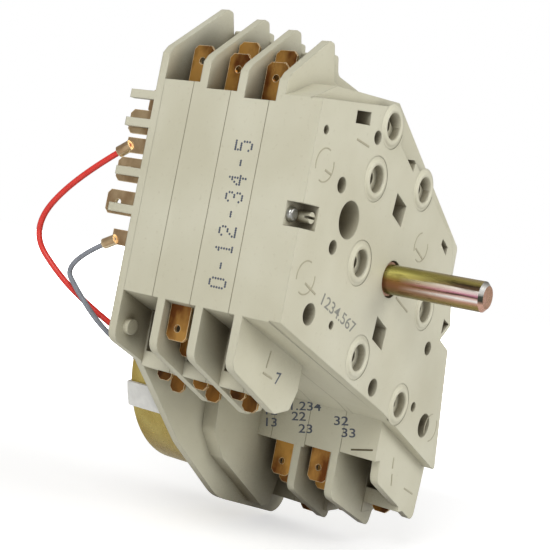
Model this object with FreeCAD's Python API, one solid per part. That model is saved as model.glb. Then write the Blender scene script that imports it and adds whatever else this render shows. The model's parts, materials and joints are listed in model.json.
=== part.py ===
import FreeCAD, Part
import math
import os

# Washing machine timer, millimetres.
# Origin: the shaft axis on the mounting face. X right, Y back through the stack, Z up.
V = FreeCAD.Vector

# Stack of moulded slices along Y
front_depth = 14.9
slice_pitch = 11.7
web = 2.3
flange = 3.3
slice_y = [front_depth + i * slice_pitch for i in range(4)]
back_y = slice_y[3]
cover_y = back_y - web

# Fin plates between the bays, each a little in front of the seam behind it
fin_t = 2.4
fin_set = 1.8
fin_y = [(y - fin_set - fin_t, y - fin_set) for y in slice_y[:3]] + [(cover_y, back_y)]

# Side wall and the slanting underside
wall_x = -49.0
wall_foot_z = -15.0
slope_knee = (10.1, -36.1)
step_x = 16.5
step_foot_z = -49.5
right_x = 46.0

# Upper ends of the bays and fins: each one stands higher than the one before it
wall_top_z = 36.2
wall_top_step = 1.4
bay_back_x = -28.1
bay_back_z = 53.0
bay_back_t = 2.6
bay_floor = 5.0
crest_x = -33.0
crest_z = 54.9
crest_step = 2.6
shift_step = 1.7
wall_skin = 1.7

# Banks of the lower left and of the bottom, drawn from the wall corner they hang from
bank_depth = 12.5
bank_set = 12.5
bank_reach = 30.0
bank_fall = 18.8
sill_h = 4.0
sill_x = step_x + 20.0
low_sill_z = -66.0
low_sill_step = 3.0
low_sill_h = 4.5
low_pocket = 5.0
foot_step = 0.8

# Fins of the bottom bank
low_fin_t = 2.4
low_fin_y = [flange, slice_y[0] + 0.2, slice_y[1] + 1.0]
low_tips = [(42.0, -73.8), (38.8, -75.0)]

# Blade terminals 6.3 x 0.8
blade_w = 6.3
blade_t = 0.8
blade_hole_r = 0.9
blade_root = 4.0
narrow_w = 4.6
row_w = 5.6

# Blades on the back, and the ribs in front of them
rear_blade_in = 2.6
rear_blade_x = wall_x + rear_blade_in
rib_z = (34.5, 27.2, 14.5, 5.0)

# Leads
lead_r = 0.8
gray_r = 0.7
red_path = [(x, back_y + reach, z) for x, reach, z in (
    (-46.6, 6.5, 21.4), (-48.0, 23.0, 10.5), (-47.0, 35.5, -5.0), (-43.0, 24.5, -16.5),
    (-36.0, 15.0, -24.0), (-30.0, 9.0, -28.5), (-24.0, 9.0, -28.5))]
gray_path = [(x, back_y + reach, z) for x, reach, z in (
    (-46.4, 5.5, -3.0), (-46.5, 22.5, -11.2), (-42.5, 17.5, -19.5), (-36.5, 14.0, -26.5),
    (-30.0, 9.0, -31.8), (-24.0, 9.0, -31.8))]
lug_h = 4.0

# Control shaft
shaft_r = 4.0
journal_r = 4.6
shaft_out = 28.0
shaft_chamfer = 1.0
shaft_hole_r = 5.0
running_gap = 0.05
shaft_bearing = (2.0, 10.0)

# Drive
gear_module = 0.8
drum_teeth = 48
small_teeth = 16
large_teeth = 24
pinion_teeth = 12
mesh_gap = 0.12
motor_x = 14.6
motor_z = -33.4
can_r = 31.5
can_depth = 17.0
can_skin = 1.0
base_t = 1.2
arbor_r = 1.5
drum_y = (slice_y[2] + 1.5, slice_y[2] + 4.9)
large_y = (drum_y[1] + 0.8, cover_y - 1.3)
tooth_top = 0.75 * gear_module
tooth_foot = 1.05 * gear_module
gear_tip_r = gear_module * drum_teeth / 2 + tooth_top
chamber_r = gear_tip_r + 1.2
pinion_space_r = gear_module * pinion_teeth / 2 + 1.1

# Cams, each in the middle of its slice
cam_t = 6.0
cam_set = 1.6
cam_r = 15.5
cam_lobe_r = 18.4

# Screw holes of the mounting face, each in a ring boss
screw_holes = [(-14.4, 38.4), (8.8, 25.5), (17.8, -33.6), (-10.1, -21.3), (22.8, -6.7),
               (-18.2, 2.5), (-18.0, 24.1)]

# Pocket in the front left edge with a rivet and a slotted post
pocket_x = -41.9
pocket_y = 4.5
pocket_z = 10.5

# Front of the gear cover, the lower block in front of the rear cover
block_y = large_y[0] - 1.0


def slope_z(x):
    # underside of the body, parallel to the lower left edge of the mounting face
    if x < slope_knee[0]:
        return slope_knee[1] + 0.367 * (slope_knee[0] - x)
    return slope_knee[1] - 0.451 * (x - slope_knee[0])


def outline(corners, y):
    # closed wire in an XZ plane; a corner is (x, z) or (x, z, radius)
    pts = [V(c[0], y, c[1]) for c in corners]
    radii = [c[2] if len(c) > 2 else 0.0 for c in corners]
    count = len(pts)
    edges = []
    ends = []
    for i in range(count):
        here = pts[i]
        if radii[i] <= 0:
            ends.append((here, here, None))
            continue
        to_prev = (pts[i - 1] - here).normalize()
        to_next = (pts[(i + 1) % count] - here).normalize()
        half = to_prev.getAngle(to_next) / 2
        reach = radii[i] / math.tan(half)
        bisector = (to_prev + to_next).normalize()
        centre = here + bisector * (radii[i] / math.sin(half))
        middle = centre - bisector * radii[i]
        ends.append((here + to_prev * reach, here + to_next * reach, middle))
    for i in range(count):
        start, end, middle = ends[i]
        if middle is not None:
            edges.append(Part.Arc(start, middle, end).toShape())
        following = ends[(i + 1) % count][0]
        if (following - end).Length > 1e-6:
            edges.append(Part.LineSegment(end, following).toShape())
    return Part.Wire(edges)


def slab(corners, y0, y1):
    return Part.Face(outline(corners, y0)).extrude(V(0, y1 - y0, 0))


def block(x0, x1, y0, y1, z0, z1):
    return Part.makeBox(x1 - x0, y1 - y0, z1 - z0, V(x0, y0, z0))


def rod(x, z, r, y0, y1):
    return Part.makeCylinder(r, y1 - y0, V(x, y0, z), V(0, 1, 0))


def tube(x, z, r_out, r_in, y0, y1):
    return rod(x, z, r_out, y0, y1).cut(rod(x, z, r_in, y0, y1))


def fuse(shapes):
    whole = shapes[0]
    for s in shapes[1:]:
        whole = whole.fuse(s)
    return whole.removeSplitter()


def body_corners(k, low):
    # outline of the body at bay k of the top and left banks and bay low of the bottom bank
    top = wall_top_z + wall_top_step * k
    ridge_x = bay_back_x + shift_step * k
    ridge_z = bay_back_z + crest_step * k
    foot = step_foot_z - foot_step * (low + 1)
    sill = low_sill_z - low_sill_step * low
    return [
        (wall_x, top),
        (wall_x, wall_foot_z),
        (slope_knee[0], slope_knee[1]),
        (step_x, slope_z(step_x)),
        (step_x, foot),
        (sill_x, foot),
        (sill_x, sill),
        (right_x, sill, 3.0),
        (right_x, 14.0, 3.0),
        (-10.0, 46.5, 3.0),
        (ridge_x + bay_back_t + 1.5, 48.4, 2.0),
        (ridge_x + bay_back_t, ridge_z, 0.8),
        (ridge_x, ridge_z, 0.8),
        (ridge_x, top),
    ]


def left_fin(run, y0, y1):
    # straight left edge, sloping lower edge, blunt right end under the slanting wall
    tip_x = wall_x + run
    tip_z = wall_foot_z - bank_depth - 0.5 * run
    end_x = tip_x + 9.0
    return slab([
        (wall_x, wall_foot_z + 6.0),
        (wall_x, wall_foot_z - bank_depth, 3.5),
        (tip_x, tip_z, 1.5),
        (tip_x + 6.5, tip_z + 0.9, 1.5),
        (end_x, slope_z(end_x) - 6.8),
        (end_x, slope_z(end_x) + 3.0),
    ], y0, y1)


def low_fin(z0, tip_x, tip_z, y0, y1):
    return slab([
        (step_x, z0 + 6.0),
        (step_x, z0 - bank_depth, 3.5),
        (tip_x, tip_z, 1.8),
        (tip_x + 2.0, tip_z + 6.0, 1.2),
        (tip_x + 2.4, z0 - 4.0),
    ], y0, y1)


def top_fin(k, y0, y1):
    # slanting plate that rises from the wall to a narrow crest
    crest = crest_z + crest_step * k
    x = crest_x + shift_step * k
    shoulder = wall_top_z + wall_top_step * k + 5.2
    return slab([
        (wall_x, 20.0),
        (wall_x, shoulder),
        (wall_x + 1.4, shoulder + 2.0, 2.0),
        (x - 1.2, crest, 1.0),
        (x + 1.0, crest - 0.2, 1.0),
        (x + 4.2, crest - 9.0),
        (x + 8.0, 45.0),
        (x + 8.0, 20.0),
    ], y0, y1)


def bank_block(y0, y1):
    # terminal block of the left bank with its sill, set back from the ends of the fins
    z_floor = wall_foot_z - bank_fall
    x0 = wall_x + bank_set
    x1 = wall_x + bank_reach
    return slab([
        (x0, wall_foot_z + 8.0),
        (x0, z_floor),
        (x1, z_floor - 3.0),
        (x1, wall_foot_z + 2.0),
    ], y0, y1)


def open_bay(shape, k, y0, y1, behind_fin, before_fin):
    # clear the trough behind the wall and the pocket above the sill of bay k
    top = wall_top_z + wall_top_step * k
    back_x = bay_back_x + shift_step * k
    shape = shape.cut(block(wall_x + wall_skin, back_x, y0, y1, top - bay_floor, top + 30.0))
    z_sill = wall_foot_z - bank_fall + sill_h
    return shape.cut(block(wall_x + bank_set - 1.0, wall_x + bank_set + 9.5,
                           max(y0, behind_fin + 0.6), min(y1, before_fin - 0.6), z_sill, wall_foot_z - 1.5))


def bay_part(k, low, y0, y1):
    # body, terminal block, trough and pocket of bay k between two depths
    whole = fuse([slab(body_corners(k, low), y0, y1), bank_block(y0, y1)])
    return open_bay(whole, k, y0 - 0.1, y1 + 0.1, fin_y[k][1], fin_y[k + 1][0])


def blade(tip, root_len, direction, hole_at=4.0, width=blade_w):
    # blade terminal with bevelled corners and its latch hole; the tip is the middle of
    # its end, the flat sides face left and right
    half = width / 2
    bevel = 1.1
    along = V(*direction)
    across = V(0, 0, 1) if abs(direction[1]) > 0.5 else V(0, 1, 0)
    end = V(*tip) - V(blade_t / 2, 0, 0)
    offsets = [(root_len, -half), (bevel, -half), (0, bevel - half),
               (0, half - bevel), (bevel, half), (root_len, half)]
    pts = [end - along * back + across * side for back, side in offsets]
    plate = Part.Face(Part.makePolygon(pts + pts[:1])).extrude(V(blade_t, 0, 0))
    if hole_at:
        centre = end - along * hole_at - V(1, 0, 0)
        plate = plate.cut(Part.makeCylinder(blade_hole_r, 4, centre, V(1, 0, 0)))
    return plate


def gear_blank(x, z, teeth, y0, y1, phase):
    # straight flanked teeth with backlash
    pitch_r = gear_module * teeth / 2
    tip = pitch_r + tooth_top
    root = pitch_r - tooth_foot
    step = 2 * math.pi / teeth
    pts = []
    for i in range(teeth):
        a = phase + i * step
        for r, part in ((root, -0.31), (tip, -0.12), (tip, 0.12), (root, 0.31)):
            b = a + part * step
            pts.append(V(x + r * math.cos(b), y0, z + r * math.sin(b)))
    wire = Part.makePolygon(pts + pts[:1])
    return Part.Face(wire).extrude(V(0, y1 - y0, 0))


# Arbor of the reduction gear, from the two centre distances
def gear_arbor_point():
    d1 = gear_module * (drum_teeth + small_teeth) / 2 + mesh_gap
    d2 = gear_module * (large_teeth + pinion_teeth) / 2 + mesh_gap
    span = math.hypot(motor_x, motor_z)
    along = (d1 ** 2 - d2 ** 2 + span ** 2) / (2 * span)
    off = math.sqrt(d1 ** 2 - along ** 2)
    ux, uz = motor_x / span, motor_z / span
    return along * ux + off * -uz, along * uz + off * ux


gear_x, gear_z = gear_arbor_point()
parts = {}


def make_front_housing():
    face = slab([
        (wall_x, 38.0, 1.0),
        (-18.5, 42.8),
        (33.0, 14.4),
        (35.9, 6.2),
        (42.0, -10.2, 1.0),
        (36.7, -14.6),
        (43.3, -17.5, 1.0),
        (49.1, -53.7, 0.8),
        slope_knee,
        (wall_x, wall_foot_z + 0.4),
    ], 0, flange)
    rim = slab([
        (wall_x, 38.0),
        (wall_x, wall_foot_z),
        slope_knee,
        (44.0, slope_z(44.0) + 0.5),
        (44.0, 13.0, 2.0),
        (29.1, 22.5),
        (-7.3, 45.8, 1.5),
        (-38.8, 43.0),
        (-45.5, 39.5),
    ], flange, fin_y[0][1])
    step = slab([
        (step_x, slope_z(step_x) + 4),
        (step_x, step_foot_z - foot_step),
        (sill_x, step_foot_z - foot_step),
        (sill_x, low_sill_z),
        (44.0, low_sill_z),
        (44.0, slope_z(44.0) + 4),
    ], flange, front_depth)
    first_fin = slab([
        (step_x + 2.0, slope_z(step_x)),
        (step_x + 3.4, -56.4, 3.5),
        (47.2, -69.8, 2.0),
        (49.0, -54.0),
        (49.0, -50.0),
    ], flange, flange + low_fin_t)
    shape = fuse([
        face,
        rim,
        step,
        first_fin,
        left_fin(21.5, fin_y[0][0], fin_y[0][1]),
        top_fin(0, fin_y[0][0], fin_y[0][1]),
        bay_part(0, 0, fin_y[0][1], front_depth),
    ])
    # empty bay of the bottom bank, above its sill
    shape = shape.cut(block(step_x - 1, sill_x + low_pocket, flange + low_fin_t, front_depth + 0.1,
                            low_sill_z + low_sill_h, step_foot_z - 2.0))
    # ring bosses round the screw holes
    for x, z in screw_holes:
        groove = tube(x, z, 5.9, 5.0, 0, 0.8)
        shape = shape.cut(groove)
        shape = shape.cut(rod(x, z, 3.5, -1, 2.0))
        shape = shape.cut(rod(x, z, 1.8, -1, front_depth))
    # plain holes
    for x, z, r in ((-27.3, 12.3, 4.8), (-32.5, 4.9, 1.8), (-37.5, -11.8, 2.7), (-26.4, -13.8, 1.1),
                    (0.9, -29.0, 2.4), (29.6, -17.4, 2.0), (36.2, -39.8, 3.5), (27.2, -34.3, 1.4),
                    (-20.9, 34.2, 1.8), (-45.2, 31.3, 1.1), (-33.8, 20.0, 2.0)):
        shape = shape.cut(rod(x, z, r, -1, 7.0))
    # cornered windows
    for corners in (
        [(-5.4, 22.5), (0.8, 19.8), (-0.2, 14.0), (-6.1, 16.7)],
        [(-3.8, -10.1), (2.5, -13.1), (2.0, -19.0), (-4.4, -16.2)],
        [(26.3, 14.1), (30.4, 12.1), (30.0, 9.7), (25.9, 12.4)],
        [(-33.0, 38.6), (-26.3, 39.5), (-25.9, 36.3), (-32.8, 35.5)],
        [(-8.4, 34.8), (-7.4, 37.6), (1.6, 31.6), (1.0, 29.2)],
        [(36.7, -8.4), (40.6, -9.8), (36.6, -12.9)],
    ):
        shape = shape.cut(slab(corners, -1, 5.0))
    # pocket in the front left edge for the rivet
    shape = shape.cut(block(wall_x - 1, pocket_x, -1, pocket_y, 7.6, 13.4))
    # bearing and chamber of the shaft
    shape = shape.cut(rod(0, 0, shaft_hole_r, -1, shaft_bearing[0]))
    shape = shape.cut(rod(0, 0, journal_r + running_gap, 0, shaft_bearing[1]))
    shape = shape.cut(rod(0, 0, 10.0, shaft_bearing[1], front_depth))
    return shape


def make_module(k, rear):
    y0 = slice_y[k]
    y1 = slice_y[k + 1]
    fin0, fin1 = fin_y[k + 1]
    room_end = y1 - web
    low = min(k + 1, 2)
    if rear:
        shape = bay_part(k, low, y0, cover_y)
    else:
        own_fin_y = low_fin_y[k + 1]
        foot = step_foot_z - foot_step * (low + 1)
        shape = fuse([
            bay_part(k, low, y0, fin0),
            slab(body_corners(k, low), fin0, fin1),
            left_fin((27.0, 26.0)[k], fin0, fin1),
            top_fin(k + 1, fin0, fin1),
            bay_part(k + 1, low, fin1, y1),
            low_fin(foot, *low_tips[k], own_fin_y, own_fin_y + low_fin_t),
        ])
        # pocket above the sill of the bottom bank
        sill_top = low_sill_z - low_sill_step * low + low_sill_h
        shape = shape.cut(block(sill_x - 1.0, sill_x + low_pocket, own_fin_y + low_fin_t + 0.6, y1 + 0.1,
                                sill_top, step_foot_z - 6.0))
    # chamber of the cams and the hole of the shaft
    shape = shape.cut(rod(0, 0, chamber_r, y0, room_end))
    shape = shape.cut(rod(0, 0, journal_r + 0.6, y0, y1))
    if rear:
        shape = shape.cut(rod(gear_x, gear_z, gear_module * large_teeth / 2 + 1.6, y0 + 0.6, room_end))
        shape = shape.cut(rod(motor_x, motor_z, pinion_space_r, large_y[0] - 0.4, room_end))
    return shape


def make_drum_cover():
    # rear cover: closes the stack and carries the big lobe and the rearmost fins
    k = 3
    lobe = slab([
        (wall_x, 41.0),
        (wall_x, wall_foot_z - bank_depth, 3.5),
        (-37.0, -32.5),
        (-13.8, -55.1, 12.0),
        (9.0, -71.5, 20.0),
        (46.0, -79.5, 6.0),
        (46.0, 14.0, 3.0),
        (-10.0, 46.5, 3.0),
        (-19.4, 48.6, 2.0),
        (-21.6, bay_back_z + 2 * crest_step, 0.8),
    ], cover_y, back_y)
    shape = fuse([lobe, top_fin(k, cover_y, back_y)])
    shape = shape.cut(rod(0, 0, journal_r + running_gap, cover_y, back_y - 1.2))
    shape = shape.cut(rod(motor_x, motor_z, arbor_r + running_gap, cover_y, back_y))
    for z in rib_z:
        shape = shape.fuse(block(wall_x, wall_x + 1.8, cover_y + 0.5, back_y + 8.0, z - 1.1, z + 1.1))
    # peg that looks forward into the rearmost bay
    shape = shape.fuse(rod(wall_x + 4.5, wall_foot_z - 9.0, 2.0, cover_y - 1.5, cover_y))
    return shape


def make_gear_cover():
    # lower block in front of the rear cover
    shape = slab([
        (-7.0, slope_z(-7.0)),
        (-5.2, -50.6, 4.0),
        (1.2, -58.6, 3.0),
        (26.0, -74.0, 2.0),
        (30.0, -74.0, 1.0),
        (33.0, -64.0),
        (sill_x, step_foot_z - 3.0),
        (step_x, slope_z(step_x)),
        slope_knee,
    ], block_y, cover_y)
    return shape.cut(rod(motor_x, motor_z, pinion_space_r, large_y[0] - 0.4, cover_y))


def sector(r_in, r_out, y0, y1, a0, a1):
    # part of a ring about the shaft axis, angles from +X towards +Z in degrees
    mid = (a0 + a1) / 2
    pts = []
    for r, angles in ((r_in, (a0, mid, a1)), (r_out, (a1, mid, a0))):
        pts.append([V(r * math.cos(math.radians(a)), y0, r * math.sin(math.radians(a))) for a in angles])
    edges = [
        Part.Arc(*pts[0]).toShape(),
        Part.LineSegment(pts[0][2], pts[1][0]).toShape(),
        Part.Arc(*pts[1]).toShape(),
        Part.LineSegment(pts[1][2], pts[0][0]).toShape(),
    ]
    return Part.Face(Part.Wire(edges)).extrude(V(0, y1 - y0, 0))


def make_cam(y0, lobes):
    disc = rod(0, 0, cam_r, y0, y0 + cam_t)
    for a0, a1 in lobes:
        disc = disc.fuse(sector(cam_r - 1.5, cam_lobe_r, y0, y0 + cam_t, a0, a1))
    return disc.cut(rod(0, 0, journal_r, y0, y0 + cam_t))


def make_spring(k):
    # sprung contact arm over a cam, held in the wall of its chamber
    y0 = slice_y[k] + cam_set + 0.2
    arm = [(-34.0, 22.6), (-12.0, 21.0), (-9.5, 19.4, 0.8), (-7.5, 20.6), (-5.0, 20.8),
           (-5.0, 21.2), (-7.7, 21.0), (-9.5, 20.0, 0.8), (-11.9, 21.4), (-34.0, 23.0)]
    return slab(arm, y0, y0 + cam_t - 1.0)


def make_drum_wheel():
    wheel = gear_blank(0, 0, drum_teeth, drum_y[0], drum_y[1], drum_phase)
    hub_end = cover_y - 1.0
    hub = rod(0, 0, journal_r + 2.4, drum_y[1], hub_end)
    return wheel.fuse(hub).cut(rod(0, 0, journal_r, drum_y[0], hub_end))


def make_reduction_gear():
    turned = mesh_line + math.pi * (1 + 1.0 / small_teeth)
    small = gear_blank(gear_x, gear_z, small_teeth, drum_y[0], large_y[0], turned)
    large = gear_blank(gear_x, gear_z, large_teeth, large_y[0], large_y[1], motor_line)
    return small.fuse(large).cut(rod(gear_x, gear_z, arbor_r + running_gap, drum_y[0], large_y[1]))


def tube_along(points, r):
    # straight runs joined by tangent arcs
    pts = [V(*p) for p in points]
    edges = []
    start = pts[0]
    radii = []
    for i in range(1, len(pts) - 1):
        to_prev = pts[i - 1] - pts[i]
        to_next = pts[i + 1] - pts[i]
        shorter = min(to_prev.Length, to_next.Length)
        turn = math.pi - to_prev.getAngle(to_next)
        reach = 0.45 * shorter
        radius = reach / math.tan(turn / 2)
        radii.append(round(radius, 1))
        to_prev.normalize()
        to_next.normalize()
        bisector = (to_prev + to_next).normalize()
        centre = pts[i] + bisector * (radius / math.cos(turn / 2))
        first = pts[i] + to_prev * reach
        edges.append(Part.LineSegment(start, first).toShape())
        start = pts[i] + to_next * reach
        edges.append(Part.Arc(first, centre - bisector * radius, start).toShape())
    edges.append(Part.LineSegment(start, pts[-1]).toShape())
    path = Part.Wire(edges)
    ring = Part.Wire(Part.makeCircle(r, pts[0], pts[1] - pts[0]))
    lead = path.makePipeShell([ring], True, True)
    print("lead length", round(path.Length, 1), "bend radii", radii,
          "volume ratio", round(lead.Volume / (math.pi * r * r * path.Length), 3))
    return lead


def barrel(path, r, length, plate):
    # crimped collar round the start of a lead, on its lug
    start = V(*path[0])
    along = (V(*path[1]) - start).normalize()
    collar = Part.makeCylinder(r + 0.7, length, start, along)
    return plate.fuse(collar).cut(Part.makeCylinder(r, length, start, along))


drum_phase = math.atan2(gear_z, gear_x)
mesh_line = drum_phase
motor_line = math.atan2(motor_z - gear_z, motor_x - gear_x)
base_y = back_y + base_t
can_y = back_y + can_depth

parts["front_housing"] = make_front_housing()
parts["switch_module_front"] = make_module(0, False)
parts["switch_module_middle"] = make_module(1, False)
parts["switch_module_rear"] = make_module(2, True)
parts["drum_cover"] = make_drum_cover()
parts["gear_cover"] = make_gear_cover()

# turning set on the control shaft
shaft_end = back_y - 1.5
shaft = rod(0, 0, shaft_r, -shaft_out, shaft_end).fuse(rod(0, 0, journal_r, 0.6, shaft_end)).removeSplitter()
tip_edges = [e for e in shaft.Edges if abs(e.CenterOfMass.y + shaft_out) < 0.01 and e.Closed]
parts["control_shaft"] = shaft.makeChamfer(shaft_chamfer, tip_edges)
parts["shaft_clip"] = tube(0, 0, 7.0, journal_r, shaft_bearing[1] + 0.3, shaft_bearing[1] + 1.3)
parts["cam_disc_front"] = make_cam(slice_y[0] + cam_set, [(10, 80), (140, 175), (220, 300)])
parts["cam_disc_middle"] = make_cam(slice_y[1] + cam_set, [(30, 65), (120, 200), (250, 290), (320, 350)])
parts["drum_wheel"] = make_drum_wheel()

# reduction and motor
parts["reduction_gear"] = make_reduction_gear()
parts["gear_arbor"] = rod(gear_x, gear_z, arbor_r, slice_y[2] - 1.8, back_y - 1.0)
parts["motor_pinion"] = gear_blank(motor_x, motor_z, pinion_teeth, large_y[0], large_y[1] + 0.2,
                                   motor_line + math.pi * (1 + 1.0 / pinion_teeth)).cut(
                                       rod(motor_x, motor_z, arbor_r, large_y[0], large_y[1] + 0.2))
parts["motor_arbor"] = rod(motor_x, motor_z, arbor_r, large_y[0], can_y - 0.3)
parts["motor_rotor"] = tube(motor_x, motor_z, 11.0, arbor_r, base_y + 2.4, can_y - 3.4)
base = rod(motor_x, motor_z, can_r, back_y, base_y)
parts["motor_base"] = base.cut(rod(motor_x, motor_z, 5.0, back_y, base_y))
can = rod(motor_x, motor_z, can_r, base_y, can_y)
can = can.cut(rod(motor_x, motor_z, can_r - can_skin, base_y, can_y - can_skin))
outlet = block(-24.0, motor_x - can_r + 6.5, base_y + 3.6, base_y + 10.0, -34.5, -25.8)
coil = tube(motor_x, motor_z, can_r - 4.0, 12.5, base_y, can_y - 2.0).fuse(outlet)
can = can.cut(outlet)
parts["motor_can"] = can.cut(rod(motor_x, motor_z, arbor_r + running_gap, can_y - can_skin, can_y))
parts["motor_coil"] = coil
band = sector(can_r, can_r + 0.9, base_y, can_y + 0.8, 195, 208).fuse(
    sector(22.0, can_r + 0.9, can_y, can_y + 0.8, 195, 208))
band.translate(V(motor_x, 0, motor_z))
parts["motor_band"] = band.removeSplitter()

# contacts inside, with their clear space in the slices
modules = ["switch_module_front", "switch_module_middle", "switch_module_rear"]
for k, name in enumerate(("front", "middle")):
    space = block(-30.0, -2.0, slice_y[k] + cam_set - 0.6, slice_y[k] + cam_set + cam_t + 0.2, 12.0, 24.5)
    arm = make_spring(k)
    parts[modules[k]] = parts[modules[k]].cut(space).cut(arm)
    parts["contact_spring_" + name] = arm

parts["gear_cover"] = parts["gear_cover"].cut(parts["switch_module_rear"])

# gear arbor seats
for name in ("switch_module_middle", "switch_module_rear", "drum_cover"):
    parts[name] = parts[name].cut(parts["gear_arbor"])

# long rivets that hold the stack, head at the back
rivets = []
for x, z in ((-20.0, 32.6), (-24.0, -17.0), (30.0, 18.0), (41.0, -10.0)):
    shank = rod(x, z, 1.5, 11.0, back_y)
    rivets.append(shank.fuse(rod(x, z, 2.8, back_y, back_y + 1.0)).removeSplitter())
parts["stack_rivets"] = Part.Compound(rivets)
for name in ["front_housing"] + modules + ["drum_cover"]:
    for r in rivets:
        parts[name] = parts[name].cut(r)

# rivet and slotted post in the corner pocket
post = rod(pocket_x - 1.5, pocket_z, 1.4, 0.6, pocket_y)
parts["corner_boss"] = post.cut(block(pocket_x - 4.1, pocket_x + 0.9, 0, 1.8, pocket_z - 0.3, pocket_z + 0.3))
head = rod(pocket_x - 4.9, pocket_z, 1.8, pocket_y - 1.3, pocket_y)
face_edges = [e for e in head.Edges if e.Closed and abs(e.CenterOfMass.y - pocket_y + 1.3) < 0.01]
parts["corner_rivet"] = head.makeFillet(0.7, face_edges)


def add_blade(name, holders, tip, root_len, direction, hole_at=4.0, width=blade_w):
    shape = blade(tip, root_len, direction, hole_at, width)
    for holder in holders:
        parts[holder] = parts[holder].cut(blade(tip, root_len, direction, 0, width))
    parts["terminal_" + name] = shape


up = (0, 0, 1)
down = (0, 0, -1)
back = (0, 1, 0)
# top bank: a front row in every bay and a back row in two of them
for k in range(3):
    top = wall_top_z + wall_top_step * k
    rise = 10.4
    add_blade("top_front_%d" % (k + 1), [modules[k]], (wall_x + 6.0, slice_y[k] + 3.3, top + rise),
              rise + bay_floor + blade_root, up)
    if k < 2:
        rise = 14.3
        add_blade("top_back_%d" % (k + 1), [modules[k]], (wall_x + 9.7, slice_y[k] + 4.0, top + rise),
                  rise + bay_floor + blade_root, up)
# left bank: two blades in the middle bay, narrow ones under the sills
yc = slice_y[1] + 3.8
add_blade("left_front", [modules[1]], (wall_x + 2.5, yc, wall_foot_z - 9.5), 9.5 + blade_root, down, 3.0)
add_blade("left_second", [modules[1]], (wall_x + 9.0, yc, wall_foot_z - 13.4), 13.4 + blade_root, down)
for k in range(3):
    yc = slice_y[k] + 2.8
    for row, (dx, drop) in enumerate(((14.6, 21.2), (20.8, 24.3))):
        root = (wall_x + dx, yc, wall_foot_z - drop)
        add_blade("left_row%d_%d" % (row + 3, k + 1), [modules[k]], root, 5.6, down, 0, narrow_w)
# bottom bank, with a narrow blade under each sill
for k in range(2):
    yc = low_fin_y[k + 1] + low_fin_t + 5.1
    foot = step_foot_z - 1.2 * (k + 1)
    add_blade("low_front_%d" % (k + 1), [modules[k]], (step_x + 3.7, yc, foot - 10.2), 10.2 + 5.2, down)
    add_blade("low_second_%d" % (k + 1), [modules[k]], (step_x + 9.0, yc, foot - 13.0), 13.0 + 5.2, down)
for k, holder in enumerate(("front_housing", modules[0], modules[1])):
    yc = low_fin_y[k] + low_fin_t + 5.0
    root = (sill_x + 3.8, yc, low_sill_z - low_sill_step * k - 2.2)
    add_blade("low_row_%d" % (k + 1), [holder], root, 5.2, down, 0, row_w)
# blades on the back, seated in the rear cover
for i, (zc, reach, x) in enumerate(((33.6, 6.2, rear_blade_x + 3.4), (27.6, 8.6, rear_blade_x),
                                    (15.0, 9.6, rear_blade_x), (6.4, 11.0, rear_blade_x))):
    add_blade("back_%d" % (i + 1), ["drum_cover"], (x, back_y + reach, zc), reach + web, back)

# leads and their crimped lugs
parts["red_lead"] = tube_along(red_path, lead_r)
parts["gray_lead"] = tube_along(gray_path, gray_r)
for color, path, r, zc in (("red", red_path, lead_r, 21.4), ("gray", gray_path, gray_r, -2.4)):
    x = path[0][0]
    lug = block(x - blade_t / 2, x + blade_t / 2, cover_y, path[0][1] + 1.2, zc - lug_h / 2, zc + lug_h / 2)
    parts["drum_cover"] = parts["drum_cover"].cut(lug)
    parts["terminal_back_" + color] = barrel(path, r, 4.0, lug)

os.makedirs("parts", exist_ok=True)
for name, shape in parts.items():
    print(name, len(shape.Solids), round(shape.Volume), shape.isValid())
    shape.exportStep("parts/" + name + ".step")
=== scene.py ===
import bpy
import json
import math
from mathutils import Matrix, Vector


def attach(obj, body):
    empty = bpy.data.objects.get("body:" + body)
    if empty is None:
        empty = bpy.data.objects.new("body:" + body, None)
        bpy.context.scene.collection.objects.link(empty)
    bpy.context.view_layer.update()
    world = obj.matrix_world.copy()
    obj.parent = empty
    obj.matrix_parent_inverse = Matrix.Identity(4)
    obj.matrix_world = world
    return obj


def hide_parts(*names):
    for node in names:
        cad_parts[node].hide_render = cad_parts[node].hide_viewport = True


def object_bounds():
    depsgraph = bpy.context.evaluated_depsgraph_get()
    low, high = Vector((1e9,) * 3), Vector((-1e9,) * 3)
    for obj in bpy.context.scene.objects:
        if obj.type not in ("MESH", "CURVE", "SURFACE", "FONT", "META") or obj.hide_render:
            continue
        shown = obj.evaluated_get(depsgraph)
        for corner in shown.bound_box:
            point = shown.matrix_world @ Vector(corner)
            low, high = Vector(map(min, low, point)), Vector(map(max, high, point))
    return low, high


# Washing machine timer: looks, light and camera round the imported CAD
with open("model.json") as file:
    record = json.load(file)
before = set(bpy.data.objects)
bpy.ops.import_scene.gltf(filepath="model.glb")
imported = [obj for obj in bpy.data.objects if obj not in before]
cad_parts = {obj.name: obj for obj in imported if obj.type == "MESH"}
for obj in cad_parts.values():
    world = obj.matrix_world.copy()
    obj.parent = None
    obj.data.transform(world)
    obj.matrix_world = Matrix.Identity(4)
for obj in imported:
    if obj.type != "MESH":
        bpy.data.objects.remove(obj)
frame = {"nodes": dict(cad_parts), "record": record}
cadLow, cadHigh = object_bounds()
bpy.ops.object.select_all(action="DESELECT")
print("frame loaded:", len(frame["nodes"]), "nodes")


# Camera, at the photograph's viewing angle
cameraSet = {
    "azimuth": -58.52,
    "elevation": -2.42,
    "roll": 10.77,
    "lens": 75.65,
    "shift": (-0.1, -0.1),
    "place": (-0.2710, -0.1438, -0.0005),
}


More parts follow.
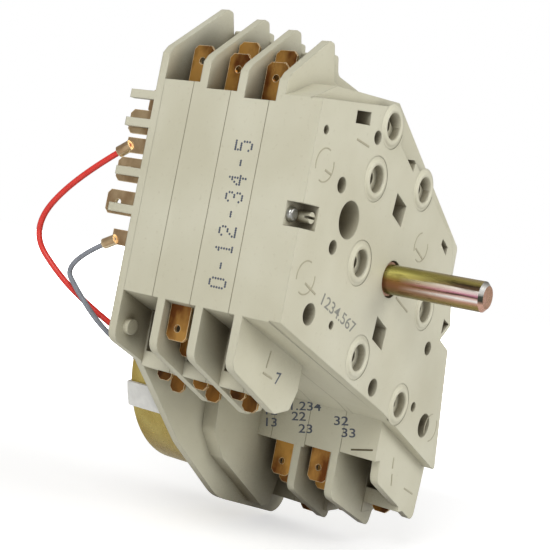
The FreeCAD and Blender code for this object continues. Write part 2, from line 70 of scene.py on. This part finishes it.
def addCamera(values):
    az = math.radians(values["azimuth"])
    el = math.radians(values["elevation"])
    roll = math.radians(values["roll"])
    right = Vector((math.cos(az), math.sin(az), 0))
    back = Vector((math.sin(az) * math.cos(el), -math.cos(az) * math.cos(el), math.sin(el)))
    up = back.cross(right)
    turnedRight = right * math.cos(roll) + up * math.sin(roll)
    turnedUp = up * math.cos(roll) - right * math.sin(roll)
    data = bpy.data.cameras.new("photoCamera")
    data.lens = values["lens"]
    data.shift_x, data.shift_y = values["shift"]
    data.clip_start, data.clip_end = 0.01, 20
    camera = bpy.data.objects.new("photoCamera", data)
    bpy.context.scene.collection.objects.link(camera)
    camera.matrix_world = Matrix.Translation(values["place"]) @ Matrix((
        (turnedRight.x, turnedUp.x, back.x, 0),
        (turnedRight.y, turnedUp.y, back.y, 0),
        (turnedRight.z, turnedUp.z, back.z, 0),
        (0, 0, 0, 1)))
    bpy.context.scene.camera = camera


addCamera(cameraSet)
bpy.context.scene.view_settings.view_transform = "Standard"
print("camera set")


# Colours are written as they look in the photograph and turned to linear here
def linear(color):
    def one(v):
        v = v / 255
        return v / 12.92 if v <= 0.04045 else ((v + 0.055) / 1.055) ** 2.4
    return (one(color[0]), one(color[1]), one(color[2]), 1)


class Finish:
    # one material with its nodes, read on Object coordinates
    def __init__(self, name):
        self.material = bpy.data.materials.new(name)
        self.material.use_nodes = True
        self.tree = self.material.node_tree
        self.shader = self.tree.nodes["Principled BSDF"]
        self.place = self.add("ShaderNodeTexCoord")

    def add(self, kind, **values):
        node = self.tree.nodes.new(kind)
        for key, value in values.items():
            setattr(node, key, value)
        return node

    def link(self, source, target):
        self.tree.links.new(source, target)

    def noise(self, scale, detail=3, stretch=None, roughness=0.5):
        node = self.add("ShaderNodeTexNoise")
        node.inputs["Scale"].default_value = scale
        node.inputs["Detail"].default_value = detail
        node.inputs["Roughness"].default_value = roughness
        if stretch:
            mapping = self.add("ShaderNodeMapping")
            mapping.inputs["Scale"].default_value = stretch
            self.link(self.place.outputs["Object"], mapping.inputs["Vector"])
            self.link(mapping.outputs["Vector"], node.inputs["Vector"])
        else:
            self.link(self.place.outputs["Object"], node.inputs["Vector"])
        return node.outputs["Fac"]

    def ramp(self, source, stops):
        node = self.add("ShaderNodeValToRGB")
        while len(node.color_ramp.elements) < len(stops):
            node.color_ramp.elements.new(0.5)
        for element, (at, color) in zip(node.color_ramp.elements, stops):
            element.position = at
            element.color = color
        self.link(source, node.inputs["Fac"])
        return node.outputs["Color"]

    def mix(self, factor, first, second, blend="MIX"):
        node = self.add("ShaderNodeMix", data_type="RGBA", blend_type=blend)
        for socket, value in ((node.inputs[0], factor), (node.inputs[6], first), (node.inputs[7], second)):
            if isinstance(value, (float, int, tuple)):
                socket.default_value = value
            else:
                self.link(value, socket)
        return node.outputs[2]

    def math(self, operation, first, second=0.0, third=0.0):
        node = self.add("ShaderNodeMath", operation=operation)
        for socket, value in zip(node.inputs, (first, second, third)):
            if isinstance(value, (float, int)):
                socket.default_value = value
            else:
                self.link(value, socket)
        return node.outputs[0]

    def range(self, source, low, high):
        node = self.add("ShaderNodeMapRange")
        node.inputs["To Min"].default_value = low
        node.inputs["To Max"].default_value = high
        self.link(source, node.inputs["Value"])
        return node.outputs["Result"]

    def bump(self, source, strength, distance, edge=0.0):
        node = self.add("ShaderNodeBump")
        node.inputs["Strength"].default_value = strength
        node.inputs["Distance"].default_value = distance
        self.link(source, node.inputs["Height"])
        if edge:
            soft = self.add("ShaderNodeBevel", samples=4)
            soft.inputs["Radius"].default_value = edge
            self.link(soft.outputs["Normal"], node.inputs["Normal"])
        self.link(node.outputs["Normal"], self.shader.inputs["Normal"])

    def set(self, **values):
        for key, value in values.items():
            self.shader.inputs[key.replace("_", " ")].default_value = value


plasticLook = {
    "light": (206, 203, 182),
    "dark": (196, 192, 169),
    "speckle": (178, 171, 146),
    # colour of the painted shade in recesses, mixed in by ambient occlusion
    "paintedShade": (66, 50, 12),
    "paintedShadeReach": 0.026,
    "paintedShadeShare": 0.85,
    "seam": (120, 113, 88),
    "seams": (0.0149, 0.0266, 0.0383),
    "seamWidth": 0.0001,
    "roughness": (0.38, 0.5),
}


def housingPlastic(values):
    f = Finish("mouldedPlastic")
    cloudy = f.noise(38, 3)
    tone = f.ramp(cloudy, [(0.35, linear(values["dark"])), (0.65, linear(values["light"]))])
    fleck = f.ramp(f.noise(900, 2), [(0.62, (0, 0, 0, 1)), (0.78, (1, 1, 1, 1))])
    tone = f.mix(f.math("MULTIPLY", fleck, 0.35), tone, linear(values["speckle"]))
    # thin joint lines where two slices meet, on the walls only
    parted = f.add("ShaderNodeSeparateXYZ")
    f.link(f.place.outputs["Object"], parted.inputs[0])
    facing = f.add("ShaderNodeSeparateXYZ")
    f.link(f.place.outputs["Normal"], facing.inputs[0])
    wall = f.math("LESS_THAN", f.math("ABSOLUTE", facing.outputs["Y"]), 0.5)
    line = None
    for at in values["seams"]:
        near = f.math("COMPARE", parted.outputs["Y"], at, values["seamWidth"])
        line = near if line is None else f.math("MAXIMUM", line, near)
    line = f.math("MULTIPLY", f.math("MULTIPLY", line, wall), 0.75)
    tone = f.mix(line, tone, linear(values["seam"]))
    # painted shade: bays and pockets are darkened brown deep inside by ambient occlusion
    closed = f.add("ShaderNodeAmbientOcclusion", samples=6)
    closed.inputs["Distance"].default_value = values["paintedShadeReach"]
    shade = f.ramp(closed.outputs["AO"], [(0.15, (1, 1, 1, 1)), (0.66, (0, 0, 0, 1))])
    tone = f.mix(f.math("MULTIPLY", shade, values["paintedShadeShare"]), tone, linear(values["paintedShade"]))
    f.link(tone, f.shader.inputs["Base Color"])
    f.link(f.range(f.noise(260, 3), *values["roughness"]), f.shader.inputs["Roughness"])
    f.bump(f.noise(1400, 4), 0.12, 0.00012, 0.00045)
    return f.material


bladeLook = {
    # each set is a dark and a mid tone, then a painted highlight colour for the cut edges
    "front": ((112, 64, 26), (200, 150, 78), (246, 214, 156)),
    # the row blades sit in the bays and get darker tones than the front set: painted shade
    "row": ((70, 40, 14), (136, 92, 38), (220, 176, 112)),
    "back": ((166, 132, 96), (212, 186, 146), (244, 230, 194)),
    "roughness": (0.22, 0.4),
    # rim radius, and the colour of the painted highlight on it
    "rim": 0.00035,
    "rimHighlightColor": (255, 232, 188),
    "metallic": (0.85, 0.3),
}


def bladeMetal(name, colors, values):
    f = Finish(name)
    cloudy = f.noise(170, 4, (1, 1, 0.6))
    tone = f.ramp(cloudy, [(0.36, linear(colors[0])), (0.6, linear(colors[1]))])
    # painted highlight: faces not turned along X take the bright third colour
    facing = f.add("ShaderNodeSeparateXYZ")
    f.link(f.place.outputs["Normal"], facing.inputs[0])
    paintedEdgeHighlight = f.math("LESS_THAN", f.math("ABSOLUTE", facing.outputs["X"]), 0.6)
    tone = f.mix(f.math("MULTIPLY", paintedEdgeHighlight, 0.8), tone, linear(colors[2]))
    # painted highlight on the stamped rim: bevelled edges get a bright colour and less metal
    rounded = f.add("ShaderNodeBevel", samples=6)
    rounded.inputs["Radius"].default_value = values["rim"]
    flat = f.add("ShaderNodeNewGeometry")
    turned = f.add("ShaderNodeVectorMath", operation="DOT_PRODUCT")
    f.link(rounded.outputs[0], turned.inputs[0])
    f.link(flat.outputs["True Normal"], turned.inputs[1])
    rim = f.ramp(turned.outputs["Value"], [(0.8, (1, 1, 1, 1)), (0.98, (0, 0, 0, 1))])
    tone = f.mix(rim, tone, linear(values["rimHighlightColor"]))
    f.link(tone, f.shader.inputs["Base Color"])
    f.link(f.range(f.noise(900, 3, (1, 1, 0.08)), *values["roughness"]), f.shader.inputs["Roughness"])
    f.link(f.range(rim, *values["metallic"]), f.shader.inputs["Metallic"])
    f.bump(f.noise(2600, 3, (1, 1, 0.06)), 0.15, 0.00005, 0.0001)
    return f.material


# Painted reflections: bands run along the shaft, set by the angle round it; each one is read from the top of
# the shaft to its bottom
shaftLook = {
    "root": ((0.0, (122, 112, 56)), (0.14, (130, 122, 54)), (0.26, (214, 206, 118)), (0.38, (164, 150, 78)),
             (0.52, (134, 94, 48)), (0.7, (142, 96, 66)), (0.85, (124, 98, 58)), (1.0, (108, 102, 44))),
    "end": ((0.0, (168, 148, 108)), (0.12, (160, 146, 78)), (0.24, (66, 50, 28)), (0.34, (104, 80, 60)),
            (0.38, (255, 246, 240)), (0.48, (250, 214, 218)), (0.54, (196, 128, 150)), (0.58, (66, 44, 32)),
            (0.63, (214, 176, 166)), (0.7, (255, 252, 250)), (0.79, (200, 152, 132)), (0.9, (150, 130, 66)),
            (1.0, (132, 112, 60))),
    "blend": (-0.004, -0.021),
    # painted reflection bands on the tip chamfer
    "chamferReflection": ((0.0, (84, 78, 66)), (0.25, (238, 236, 232)), (0.42, (214, 212, 206)), (0.52, (58, 62, 52)),
                (0.66, (50, 48, 36)), (0.78, (206, 162, 142)), (1.0, (198, 150, 128))),
    "face": ((0.3, (176, 132, 108)), (0.5, (192, 150, 122)), (0.7, (206, 158, 138))),
    "stain": ((0.3, (104, 84, 40)), (0.42, (255, 255, 255))),
    "radius": 0.004,
    "metallic": 0.55,
    "roughness": (0.2, 0.36),
}


def stops(pairs):
    return [(at, linear(color)) for at, color in pairs]


def zincShaft(values):
    f = Finish("passivatedShaft")
    parted = f.add("ShaderNodeSeparateXYZ")
    f.link(f.place.outputs["Object"], parted.inputs[0])
    across = f.add("ShaderNodeMapRange")
    across.inputs["From Min"].default_value = values["radius"]
    across.inputs["From Max"].default_value = -values["radius"]
    f.link(parted.outputs["Z"], across.inputs["Value"])
    # painted reflection bands by angle round the shaft, one set at the root and one at the end, blended along
    # it
    wander = f.math("MULTIPLY", f.math("SUBTRACT", f.noise(420, 4, (1, 0.07, 1), 0.6), 0.5), 0.22)
    band = f.math("ADD", across.outputs["Result"], wander)
    root = f.ramp(band, stops(values["root"]))
    end = f.ramp(band, stops(values["end"]))
    along = f.add("ShaderNodeMapRange")
    along.inputs["From Min"].default_value = values["blend"][0]
    along.inputs["From Max"].default_value = values["blend"][1]
    f.link(parted.outputs["Y"], along.inputs["Value"])
    tone = f.mix(along.outputs["Result"], root, end)
    stain = f.ramp(f.noise(260, 3, (1, 0.4, 1)), stops(values["stain"]))
    tone = f.mix(0.7, tone, stain, "MULTIPLY")
    facing = f.add("ShaderNodeSeparateXYZ")
    f.link(f.place.outputs["Normal"], facing.inputs[0])
    toFront = f.math("MULTIPLY", facing.outputs["Y"], -1.0)
    # painted reflection on the tip chamfer, bands by angle round the shaft
    chamferReflection = f.ramp(across.outputs["Result"], stops(values["chamferReflection"]))
    tone = f.mix(f.math("GREATER_THAN", toFront, 0.25), tone, chamferReflection)
    face = f.ramp(f.noise(300, 4), stops(values["face"]))
    tone = f.mix(f.math("GREATER_THAN", toFront, 0.9), tone, face)
    f.link(tone, f.shader.inputs["Base Color"])
    f.link(f.range(f.noise(700, 3, (1, 0.1, 1)), *values["roughness"]), f.shader.inputs["Roughness"])
    f.set(Metallic=values["metallic"])
    f.bump(f.noise(1800, 3, (0.2, 3, 0.2)), 0.12, 0.00004)
    return f.material


def metalFinish(name, dark, light, rough, grain=(1, 1, 1), scale=120):
    f = Finish(name)
    tone = f.ramp(f.noise(scale, 4), [(0.3, linear(dark)), (0.7, linear(light))])
    f.link(tone, f.shader.inputs["Base Color"])
    f.link(f.range(f.noise(800, 3, grain), *rough), f.shader.inputs["Roughness"])
    f.set(Metallic=1.0)
    f.bump(f.noise(1800, 3, grain), 0.14, 0.00006, 0.00015)
    return f.material


def plainFinish(name, dark, light, rough, scale=150, bumpScale=1500, strength=0.15):
    f = Finish(name)
    tone = f.ramp(f.noise(scale, 4), [(0.3, linear(dark)), (0.7, linear(light))])
    f.link(tone, f.shader.inputs["Base Color"])
    f.link(f.range(f.noise(500, 3), *rough), f.shader.inputs["Roughness"])
    f.bump(f.noise(bumpScale, 3), strength, 0.00008, 0.0001)
    return f.material


plastic = housingPlastic(plasticLook)
copperBlade = bladeMetal("tarnishedCopperBlade", bladeLook["front"], bladeLook)
# a darker copy of the copper blade finish for the row blades in the bays: painted shade
shadedRowBlade = bladeMetal("shadedRowBladeFinish", bladeLook["row"], bladeLook)
paleBlade = bladeMetal("paleBrassBlade", bladeLook["back"], bladeLook)
shaftMetal = zincShaft(shaftLook)
canMetal = metalFinish("yellowPassivatedCup", (170, 140, 62), (222, 206, 128), (0.2, 0.36), (1, 1, 0.3), 70)
plainMetal = metalFinish("plainSteel", (150, 150, 146), (196, 196, 190), (0.22, 0.38))
gearPlastic = plainFinish("gearPlastic", (214, 212, 200), (228, 226, 216), (0.35, 0.5))
paperBand = plainFinish("paperBand", (226, 226, 222), (240, 240, 236), (0.6, 0.75), 400, 2200, 0.25)
coilPlastic = plainFinish("coilFormer", (176, 168, 140), (192, 186, 160), (0.4, 0.55))
rotorDark = plainFinish("rotorFerrite", (48, 46, 44), (70, 68, 66), (0.5, 0.65))
redCover = plainFinish("redInsulation", (214, 48, 40), (228, 62, 50), (0.3, 0.42), 260, 2400, 0.1)
grayCover = plainFinish("grayInsulation", (122, 126, 134), (140, 144, 152), (0.35, 0.48), 260, 2400, 0.1)
printInk = plainFinish("printInk", (66, 72, 88), (92, 98, 112), (0.5, 0.65), 1500, 2600, 0.1)
paleInk = plainFinish("paleInk", (126, 126, 118), (146, 146, 136), (0.5, 0.65), 1500, 2600, 0.1)
# the housing plastic in a darker tone for the raised marks: painted shade along the relief
shadedMouldedMark = plainFinish("shadedMouldedMark", (164, 158, 134), (178, 172, 148), (0.45, 0.55), 700, 1600, 0.2)
# dark colour for the slot bar: painted shade
paintedSlotShade = plainFinish("paintedSlotShade", (84, 76, 52), (98, 90, 64), (0.6, 0.7), 900, 1600, 0.2)

finishes = {
    "housing": plastic, "pale_brass": paleBlade, "copper_alloy": copperBlade, "gear_plastic": gearPlastic,
    "zinc_steel": canMetal, "plain_steel": plainMetal, "label": paperBand, "coil_former": coilPlastic,
    "rotor_ferrite": rotorDark, "red_insulation": redCover, "gray_insulation": grayCover,
}
slotOf = {part["node"]: part["material_slot"] for part in frame["record"]["subparts"]}
for nodeName, node in frame["nodes"].items():
    look = finishes[slotOf[nodeName]]
    if nodeName == "control_shaft":
        look = shaftMetal
    elif "_row" in nodeName:
        look = shadedRowBlade
    node.data.materials.clear()
    node.data.materials.append(look)
print("materials on all CAD nodes")


# Leads: red and gray, on the routes of their CAD tubes
leads = {
    "redLead": {
        "route": [(-46.6, 56.5, 21.4), (-48, 73, 10.5), (-47, 85.5, -5), (-43, 74.5, -16.5),
                  (-36, 65, -24), (-30, 59, -28.5), (-24, 59, -28.5)],
        "radius": 0.8, "length": 82.5, "node": "red_lead", "slot": "red_insulation", "look": redCover,
    },
    "grayLead": {
        "route": [(-46.4, 55.5, -3), (-46.5, 72.5, -11.2), (-42.5, 67.5, -19.5), (-36.5, 64, -26.5),
                  (-30, 59, -31.8), (-24, 59, -31.8)],
        "radius": 0.7, "length": 52.3, "node": "gray_lead", "slot": "gray_insulation", "look": grayCover,
    },
}


def addLead(name, values):
    data = bpy.data.curves.new(name, "CURVE")
    data.dimensions = "3D"
    data.bevel_depth = values["radius"] / 1000
    data.bevel_resolution = 5
    data.resolution_u = 16
    data.use_fill_caps = True
    line = data.splines.new("NURBS")
    line.points.add(len(values["route"]) - 1)
    for point, place in zip(line.points, values["route"]):
        point.co = (place[0] / 1000, place[1] / 1000, place[2] / 1000, 1)
    line.order_u = 3
    line.use_endpoint_u = True
    data.materials.append(values["look"])
    lead = bpy.data.objects.new(name, data)
    bpy.context.scene.collection.objects.link(lead)
    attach(lead, "stack")
    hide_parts(values["node"])


for leadName, leadValues in leads.items():
    addLead(leadName, leadValues)
print("leads laid")


# Numbers printed on the plastic
def markPiece(piece, name, look):
    piece.name = name
    piece.data.name = name
    piece.data.materials.clear()
    piece.data.materials.append(look)
    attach(piece, "stack")


def settle(piece):
    # puts the object's place into its mesh
    bpy.ops.object.select_all(action="DESELECT")
    piece.select_set(True)
    bpy.context.view_layer.objects.active = piece
    bpy.ops.object.transform_apply(location=True, rotation=True, scale=True)


def facingFrame(place, right, up):
    # a frame at place whose X is right and Y is up on the surface
    right = Vector(right).normalized()
    out = right.cross(Vector(up)).normalized()
    up = out.cross(right)
    return Matrix.Translation(Vector(place) / 1000) @ Matrix((
        (right.x, up.x, out.x, 0), (right.y, up.y, out.y, 0), (right.z, up.z, out.z, 0), (0, 0, 0, 1)))


printedRows = {
    "size": 3.5,
    "widen": 1.45,
    "lift": 0.03,
    "rows": [
        ("printLow1", "12", (16.49, 42.4, -45.9)), ("printLow2", "13", (16.49, 41.6, -49.2)),
        ("printLow3", "22", (16.49, 32.5, -45.4)), ("printLow4", "23", (16.49, 29.4, -48.3)),
        ("printLow5", "32", (16.49, 18.5, -43.5)), ("printLow6", "33", (16.49, 15.4, -46.2)),
        ("printLow7", "1.234", (16.49, 34.2, -42.7)),
    ],
    "run": (0, -1, 0.19),
    "rise": (0, 0.19, 1),
    "ink": printInk,
}
finPrint = {
    "size": 4.2,
    "widen": 1.2,
    "lift": 0.03,
    "rows": [("printFin", "7", (-30.4, 10.7, -30.6))],
    "run": (1, 0, -0.1),
    "rise": (0.1, 0, 1),
    "ink": printInk,
}
facePrint = {
    "size": 4.2,
    "widen": 1.3,
    "lift": 0.03,
    "rows": [("printFace", "1234.567", (-34.2, -0.005, -8.6))],
    "run": (1, 0, -0.36),
    "rise": (0.36, 0, 1),
    "ink": paleInk,
}


def printNumber(name, text, place, values):
    # text made a mesh, widened and laid on its surface
    bpy.ops.object.select_all(action="DESELECT")
    bpy.ops.object.text_add()
    piece = bpy.context.active_object
    piece.data.body = text
    piece.data.size = values["size"] / 1000
    piece.data.extrude = values["lift"] / 2000
    piece.data.offset = 0.00003
    bpy.ops.object.convert(target="MESH")
    piece = bpy.context.active_object
    surface = facingFrame(place, values["run"], values["rise"])
    piece.matrix_world = surface @ Matrix.Diagonal((values["widen"], 1, 1, 1))
    settle(piece)
    bpy.ops.object.mode_set(mode="EDIT")
    bpy.ops.mesh.select_all(action="SELECT")
    bpy.ops.mesh.remove_doubles(threshold=0.000001)
    bpy.ops.mesh.normals_make_consistent(inside=False)
    bpy.ops.object.mode_set(mode="OBJECT")
    markPiece(piece, name, values["ink"])


for printed in (printedRows, finPrint, facePrint):
    for rowName, rowText, rowPlace in printed["rows"]:
        printNumber(rowName, rowText, rowPlace, printed)
print("numbers printed by the lower bank, on the front fin and on the face")


# Dotted number up the left wall, one small disc a dot
dotted = {
    "text": "0-12-34-5",
    "start": (-49.0, 17.3, -9.6),
    "height": 0.02,
    "pitch": 4.15,
    "dot": 0.3,
    "corners": 10,
    "stepAlong": 0.52,
    "stepAcross": 0.78,
}
dotRows = {
    "0": ("01110", "10001", "10001", "10001", "10001", "10001", "01110"),
    "1": ("00100", "01100", "00100", "00100", "00100", "00100", "01110"),
    "2": ("01110", "10001", "00001", "00110", "01000", "10000", "11111"),
    "3": ("01110", "10001", "00001", "00110", "00001", "10001", "01110"),
    "4": ("00010", "00110", "01010", "10010", "11111", "00010", "00010"),
    "5": ("11111", "10000", "11110", "00001", "00001", "10001", "01110"),
    "-": ("00000", "00000", "00000", "01110", "00000", "00000", "00000"),
}


def printDots(values):
    bpy.ops.object.select_all(action="DESELECT")
    x, y0, z0 = values["start"]
    first = True
    for i, sign in enumerate(values["text"]):
        for row, line in enumerate(reversed(dotRows[sign])):
            for column, dot in enumerate(line):
                if dot == "0":
                    continue
                place = (x / 1000, (y0 + row * values["stepAcross"]) / 1000,
                         (z0 + i * values["pitch"] + column * values["stepAlong"]) / 1000)
                bpy.ops.mesh.primitive_circle_add(vertices=values["corners"], radius=values["dot"] / 1000,
                                                  fill_type="NGON", location=place,
                                                  rotation=(0, -math.pi / 2, 0))
                if first:
                    bpy.ops.object.mode_set(mode="EDIT")  # the other dots join the first one's mesh
                    first = False
    bpy.ops.mesh.select_all(action="SELECT")
    bpy.ops.mesh.extrude_region_move(TRANSFORM_OT_translate={"value": (-values["height"] / 1000, 0, 0)})
    bpy.ops.mesh.select_all(action="SELECT")
    bpy.ops.mesh.normals_make_consistent(inside=False)
    bpy.ops.object.mode_set(mode="OBJECT")
    piece = bpy.context.active_object
    settle(piece)
    markPiece(piece, "dottedNumber", printInk)


printDots(dotted)
print("dotted number printed")


# Marks moulded into the plastic: broken rings on the face, bars on the walls, in a darker tone of the plastic
# that is painted shade
mouldedMarks = {
    "ringRadius": 4.0,
    "ringWidth": 0.32,
    "height": 0.14,
    "rings": [
        ("faceRing1", (-43.0, 23.3), ((20, 150), (200, 330))),
        ("faceRing2", (-42.0, -3.4), ((10, 140), (190, 310))),
        ("faceRing3", (13.6, 10.2), ((20, 160), (200, 300))),
        ("faceRing4", (41.0, -40.5), ((30, 150), (210, 330))),
    ],
    "bars": [
        ("faceBar1", (-42.5, -0.07, 22.2), (-39.4, -0.07, 21.6), 0.5),
        ("faceBar2", (-41.8, -0.07, -4.7), (-36.5, -0.07, -6.9), 0.5),
        ("faceBar3", (10.6, -0.07, 9.6), (15.6, -0.07, 7.2), 0.5),
        ("faceBar4", (4.6, -0.07, -4.6), (12.6, -0.07, -7.9), 0.5),
        ("faceBar5", (-30.8, -0.07, 31.9), (-24.5, -0.07, 31.2), 0.5),
        ("finBar1", (-36.0, 10.63, -28.0), (-31.6, 10.63, -29.4), 0.45),
        ("finBar2", (-35.0, 10.63, -26.8), (-34.2, 10.63, -22.6), 0.4),
        ("finBar3", (27.6, 3.23, -49.6), (28.0, 3.23, -52.8), 0.45),
        ("finBar4", (28.4, 3.23, -54.4), (29.2, 3.23, -57.8), 0.45),
        ("finBar5", (37.9, 3.23, -59.1), (44.2, 3.23, -61.2), 0.45),
    ],
    # a dark bar laid where the slot lies in shade: painted shade
    "slot": ("slotShadeLine", (16.48, 4.6, -47.4), (16.48, 11.4, -48.9), 0.5),
    "slotHeight": 0.06,
}


def addRing(name, centre, spans, values):
    # each arc is a small plate spun round the ring's middle
    r, w, h = values["ringRadius"] / 1000, values["ringWidth"] / 1000, values["height"] / 1000
    middle = Vector((centre[0] / 1000, 0, centre[1] / 1000))
    pieces = []
    for start, stop in spans:
        bpy.ops.object.select_all(action="DESELECT")
        a = math.radians(start)
        place = middle + Vector((math.cos(a) * r, 0, math.sin(a) * r))
        bpy.ops.mesh.primitive_plane_add(size=1, location=place, rotation=(0, -a, 0))
        piece = bpy.context.active_object
        piece.scale = (w, h, 1)
        settle(piece)
        bpy.ops.object.mode_set(mode="EDIT")
        bpy.ops.mesh.select_all(action="SELECT")
        bpy.ops.mesh.spin(steps=18, angle=math.radians(stop - start), center=middle, axis=(0, -1, 0))
        bpy.ops.mesh.select_all(action="SELECT")
        bpy.ops.mesh.remove_doubles(threshold=0.000001)
        bpy.ops.mesh.normals_make_consistent(inside=False)
        bpy.ops.object.mode_set(mode="OBJECT")
        pieces.append(piece)
    bpy.ops.object.select_all(action="DESELECT")
    for piece in pieces:
        piece.select_set(True)
    bpy.context.view_layer.objects.active = pieces[0]
    bpy.ops.object.join()
    bpy.ops.object.shade_smooth_by_angle(angle=math.radians(40))
    markPiece(pieces[0], name, shadedMouldedMark)


def addBar(name, start, stop, width, height, look):
    # a bevelled bar from start to stop
    start, stop = Vector(start) / 1000, Vector(stop) / 1000
    run = stop - start
    bpy.ops.object.select_all(action="DESELECT")
    bpy.ops.mesh.primitive_cube_add(size=1)
    piece = bpy.context.active_object
    along = run.normalized()
    out = Vector((0, -1, 0)) if abs(along.y) < 0.5 else Vector((-1, 0, 0))
    side = out.cross(along).normalized()
    piece.matrix_world = Matrix.Translation((start + stop) / 2) @ Matrix((
        (along.x * run.length, side.x * width / 1000, out.x * height / 1000, 0),
        (along.y * run.length, side.y * width / 1000, out.y * height / 1000, 0),
        (along.z * run.length, side.z * width / 1000, out.z * height / 1000, 0), (0, 0, 0, 1)))
    settle(piece)
    bpy.ops.object.mode_set(mode="EDIT")
    bpy.ops.mesh.select_all(action="SELECT")
    bpy.ops.mesh.bevel(offset=height / 3500, segments=2)
    bpy.ops.mesh.select_all(action="SELECT")
    bpy.ops.mesh.normals_make_consistent(inside=False)
    bpy.ops.object.mode_set(mode="OBJECT")
    markPiece(piece, name, look)


for ringName, ringCentre, ringSpans in mouldedMarks["rings"]:
    addRing(ringName, ringCentre, ringSpans, mouldedMarks)
for bar in mouldedMarks["bars"]:
    addBar(*bar, mouldedMarks["height"], shadedMouldedMark)
# painted shade: a dark bar along the slot
addBar(*mouldedMarks["slot"], mouldedMarks["slotHeight"], paintedSlotShade)
print("moulded marks added")


# Raised collars round the screw holes of the face
collarSet = {
    "places": ((-14.4, 38.4), (8.8, 25.5), (17.8, -33.6), (-10.1, -21.3), (22.8, -6.7), (-18.2, 2.5),
               (-18.0, 24.1)),
    "steps": ((3.55, -0.3), (3.75, -0.5), (4.1, -0.58), (4.6, -0.56), (4.95, -0.35), (5.1, -0.02), (5.3, 0.1),
              (5.95, 0.1)),
    "start": (3.52, 3.0),
}


def addCollar(values):
    # one collar, raised ring by ring from a circle inside the hole
    radius, depth = values["start"]
    bpy.ops.object.select_all(action="DESELECT")
    bpy.ops.mesh.primitive_circle_add(vertices=56, radius=radius / 1000, rotation=(math.radians(90), 0, 0),
                                      location=(0, depth / 1000, 0))
    piece = bpy.context.active_object
    settle(piece)
    bpy.ops.object.mode_set(mode="EDIT")
    bpy.ops.mesh.select_all(action="SELECT")
    for nextRadius, nextDepth in values["steps"]:
        bpy.ops.mesh.extrude_edges_move(TRANSFORM_OT_translate={"value": (0, (nextDepth - depth) / 1000, 0)})
        scale = nextRadius / radius
        bpy.ops.transform.resize(value=(scale, 1, scale), center_override=(0, nextDepth / 1000, 0))
        radius, depth = nextRadius, nextDepth
    bpy.ops.mesh.select_all(action="DESELECT")
    bpy.ops.mesh.select_non_manifold()
    bpy.ops.mesh.bridge_edge_loops()  # closes the ring inside the plastic
    bpy.ops.mesh.select_all(action="SELECT")
    bpy.ops.mesh.normals_make_consistent(inside=False)
    bpy.ops.object.mode_set(mode="OBJECT")
    bpy.ops.object.shade_smooth_by_angle(angle=math.radians(50))
    return piece


collars = [addCollar(collarSet)]
while len(collars) < len(collarSet["places"]):
    collar = collars[0].copy()
    collar.data = collars[0].data.copy()
    bpy.context.scene.collection.objects.link(collar)
    collars.append(collar)
for number, (collar, (x, z)) in enumerate(zip(collars, collarSet["places"])):
    collar.location = (x / 1000, 0, z / 1000)
    settle(collar)
    markPiece(collar, "faceCollar%d" % (number + 1), plastic)
print("collars on the face")


# Floor, background and lights
stageSet = {
    "floorDrop": 0.0015,
    "floorRadius": 6.0,
    "worldLight": 0.36,
    "floorShare": 0.2,
    "floorGlow": 2.75,
    "floorFade": (0.16, 0.6),
    "lamps": [
        ("leftLamp", (-0.95, -0.3, 0.7), 0.6, 7.4),
        ("frontLamp", (0.35, -1.1, 0.5), 0.7, 5.6),
        ("lowLamp", (-0.6, -0.6, -0.12), 0.3, 2.2),
    ],
}


def whiteForCamera(tree):
    # 1 where the camera looks straight at the background
    path = tree.nodes.new("ShaderNodeLightPath")
    return path.outputs["Is Camera Ray"]


def addStage(values):
    world = bpy.data.worlds.new("softWorld")
    bpy.context.scene.world = world
    world.use_nodes = True
    tree = world.node_tree
    light = tree.nodes["Background"]
    light.inputs["Color"].default_value = (1, 0.99, 0.97, 1)
    light.inputs["Strength"].default_value = values["worldLight"]
    seen = tree.nodes.new("ShaderNodeBackground")
    seen.inputs["Color"].default_value = (1, 1, 1, 1)
    seen.inputs["Strength"].default_value = 1
    mix = tree.nodes.new("ShaderNodeMixShader")
    tree.links.new(whiteForCamera(tree), mix.inputs[0])
    tree.links.new(light.outputs[0], mix.inputs[1])
    tree.links.new(seen.outputs[0], mix.inputs[2])
    tree.links.new(mix.outputs[0], tree.nodes["World Output"].inputs["Surface"])

    bpy.ops.object.select_all(action="DESELECT")
    bpy.ops.mesh.primitive_circle_add(vertices=96, radius=values["floorRadius"], fill_type="NGON",
                                      location=(0, 0, cadLow.z - values["floorDrop"]))
    floor = bpy.context.active_object
    floor.name = "floor"
    look = Finish("paleFloor")
    tree = look.tree
    tone = look.ramp(look.noise(12, 3), [(0.3, (0.88, 0.88, 0.88, 1)), (0.7, (0.92, 0.92, 0.92, 1))])
    look.link(tone, look.shader.inputs["Base Color"])
    look.set(Roughness=0.9)
    glow = look.add("ShaderNodeEmission")
    glow.inputs["Color"].default_value = (1, 1, 1, 1)
    glow.inputs["Strength"].default_value = values["floorGlow"]
    # the floor fades to white away from the object
    away = look.add("ShaderNodeVectorMath", operation="LENGTH")
    look.link(look.place.outputs["Object"], away.inputs[0])
    near, far = values["floorFade"]
    part = values["floorShare"]
    fade = look.ramp(away.outputs["Value"], [(near, (part, part, part, 1)), (far, (1, 1, 1, 1))])
    share = look.math("MULTIPLY", whiteForCamera(tree), fade)
    mix = look.add("ShaderNodeMixShader")
    look.link(share, mix.inputs[0])
    look.link(look.shader.outputs[0], mix.inputs[1])
    look.link(glow.outputs[0], mix.inputs[2])
    look.link(mix.outputs[0], tree.nodes["Material Output"].inputs["Surface"])
    floor.data.materials.append(look.material)

    for name, place, size, watts in values["lamps"]:
        data = bpy.data.lights.new(name, "AREA")
        data.shape = "DISK"
        data.size = size
        data.energy = watts
        lamp = bpy.data.objects.new(name, data)
        lamp.location = place
        lamp.rotation_euler = (-Vector(place)).to_track_quat("-Z", "Y").to_euler()
        bpy.context.scene.collection.objects.link(lamp)


addStage(stageSet)
print("stage and lights set")
